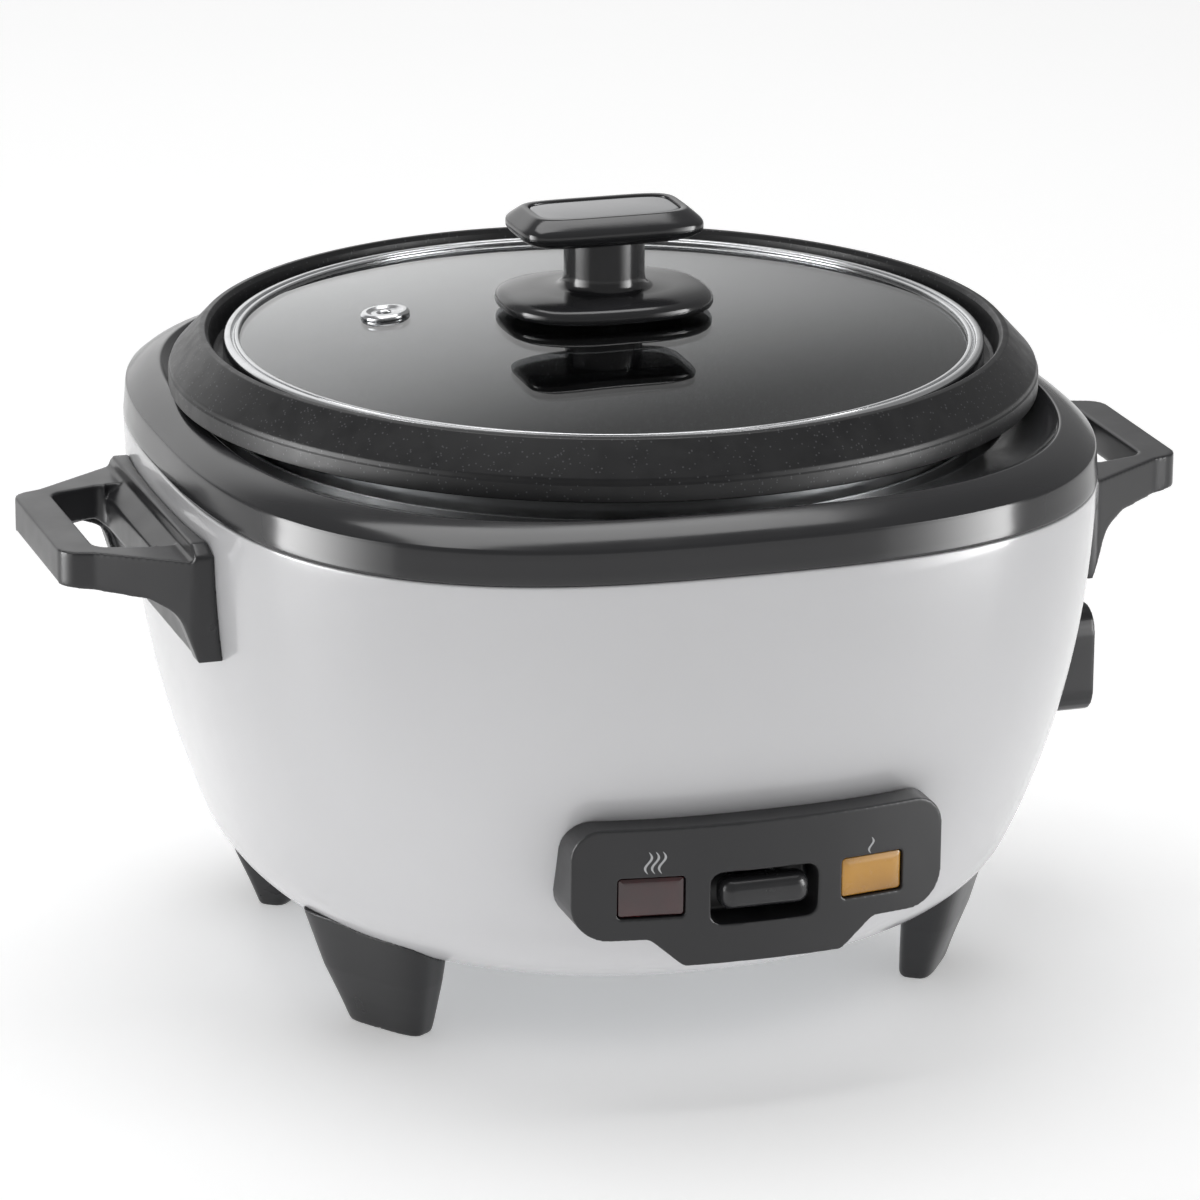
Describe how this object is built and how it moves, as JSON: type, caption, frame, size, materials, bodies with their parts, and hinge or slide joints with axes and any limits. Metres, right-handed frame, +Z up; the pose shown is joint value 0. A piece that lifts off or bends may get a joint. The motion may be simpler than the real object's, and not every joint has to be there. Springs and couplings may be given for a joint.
{
  "type": "rice cooker",
  "caption": "Electric rice cooker with a squarish white body on four feet, dark collar and side handles, lift-out bowl, domed glass lid with knob and a front panel with a rocking cook lever.",
  "frame": {"origin": "on the bowl's axis, at the floor under the feet", "axes": "+Z up, +X to the right seen from the front, -Y to the front where the control panel is"},
  "size_m": [0.3534, 0.3014, 0.2312],
  "materials": {
    "white_enamel": "glossy white enamel on pressed steel",
    "charcoal_plastic": "moulded dark grey plastic, satin to semi-gloss",
    "panel_plastic": "moulded dark grey plastic, satin",
    "lever_plastic": "moulded dark grey plastic, semi-gloss",
    "galvanised_steel": "zinc-plated pressed sheet",
    "screw_steel": "zinc-plated screws and pins",
    "red_lens": "moulded dark red clear plastic",
    "amber_lens": "moulded amber clear plastic",
    "lamp_glass": "neon lamp glass with wire leads",
    "contact_brass": "plain brass blades",
    "liner_aluminium": "spun aluminium sheet",
    "cast_aluminium": "cast and turned aluminium",
    "element_steel": "heat-tinted steel sheath",
    "ferrite": "sintered dark grey ferrite",
    "spring_steel": "bright spring wire",
    "black_plastic": "moulded phenolic plastic",
    "red_plastic": "moulded red plastic",
    "sleeve_white": "glass-fibre sleeve",
    "wire_brown": "brown silicone insulation",
    "wire_blue": "blue silicone insulation",
    "non_stick_coating": "speckled dark non-stick coating on pressed aluminium",
    "lid_glass": "clear toughened glass",
    "ring_steel": "polished stainless steel",
    "knob_inset_plastic": "smooth glossy insert",
    "silicone": "silicone washers"
  },
  "bodies": {
    "root": {"outer_shell": "white_enamel", "top_collar": "charcoal_plastic", "base_plate": "galvanised_steel", "handle_left": "charcoal_plastic", "handle_right": "charcoal_plastic", "handle_screws": "screw_steel", "foot_front_left": "charcoal_plastic", "foot_front_right": "charcoal_plastic", "foot_rear_left": "charcoal_plastic", "foot_rear_right": "charcoal_plastic", "foot_screws": "screw_steel", "control_panel": "panel_plastic", "panel_screws": "screw_steel", "cook_lens": "red_lens", "warm_lens": "amber_lens", "cook_lamp": "lamp_glass", "warm_lamp": "lamp_glass", "lever_bracket": "galvanised_steel", "lever_pin": "screw_steel", "inlet_housing": "charcoal_plastic", "inlet_pins": "contact_brass", "inlet_screws": "screw_steel", "inner_liner": "liner_aluminium", "heating_plate": "cast_aluminium", "heating_element": "element_steel", "plate_pillars": "galvanised_steel", "pillar_screws": "screw_steel", "sensor_spring": "spring_steel", "sensor_bracket": "galvanised_steel", "magnet_spring": "spring_steel", "microswitch": "black_plastic", "switch_bracket": "galvanised_steel", "keep_warm_thermostat": "black_plastic", "thermal_fuse": "sleeve_white", "live_wire": "wire_brown", "neutral_wire": "wire_blue", "heater_wire": "sleeve_white"},
    "bowl": {"bowl": "non_stick_coating"},
    "lid": {"lid_glass": "lid_glass", "lid_ring": "ring_steel", "steam_vent": "ring_steel", "knob_base": "charcoal_plastic", "knob_grip": "charcoal_plastic", "knob_inset": "knob_inset_plastic", "knob_screw": "screw_steel", "knob_washer": "silicone"},
    "lever": {"cook_lever": "lever_plastic", "lever_arm": "galvanised_steel"},
    "magnet": {"magnet_ring": "ferrite", "magnet_rod": "galvanised_steel"},
    "sensor": {"sensor_cap": "cast_aluminium", "sensor_ferrite": "ferrite"},
    "plunger": {"switch_plunger": "red_plastic"}
  },
  "joints": [
    {"name": "bowl_lift", "type": "slide", "parent": "root", "child": "bowl", "axis": [0, 0, 1], "range_m": [0, 0.13]},
    {"name": "lid_lift", "type": "slide", "parent": "bowl", "child": "lid", "axis": [0, 0, 1], "range_m": [0, 0.1]},
    {"name": "lever_press", "type": "hinge", "parent": "root", "child": "lever", "pos_m": [0, -0.086, 0.034], "axis": [1, 0, 0], "range_deg": [0, 2.61], "stiffness_Nm_per_rad": 2, "springref_deg": -1.72},
    {"name": "magnet_slide", "type": "slide", "parent": "root", "child": "magnet", "axis": [0, 0, 1], "range_m": [0, 0.004], "deforming": ["magnet_spring"]},
    {"name": "plunger_slide", "type": "slide", "parent": "root", "child": "plunger", "axis": [0, 0, 1], "range_m": [0, 0.0011]},
    {"name": "sensor_rise", "type": "slide", "parent": "root", "child": "sensor", "axis": [0, 0, 1], "range_m": [0, 0.003], "deforming": ["sensor_spring"]}
  ],
  "couplings": [
    {"joint": "magnet_slide", "follows": "lever_press", "m_per_rad": 0.086},
    {"joint": "plunger_slide", "follows": "lever_press", "m_per_rad": 0.022},
    {"joint": "sensor_rise", "follows": "bowl_lift", "ratio": 0.023}
  ]
}
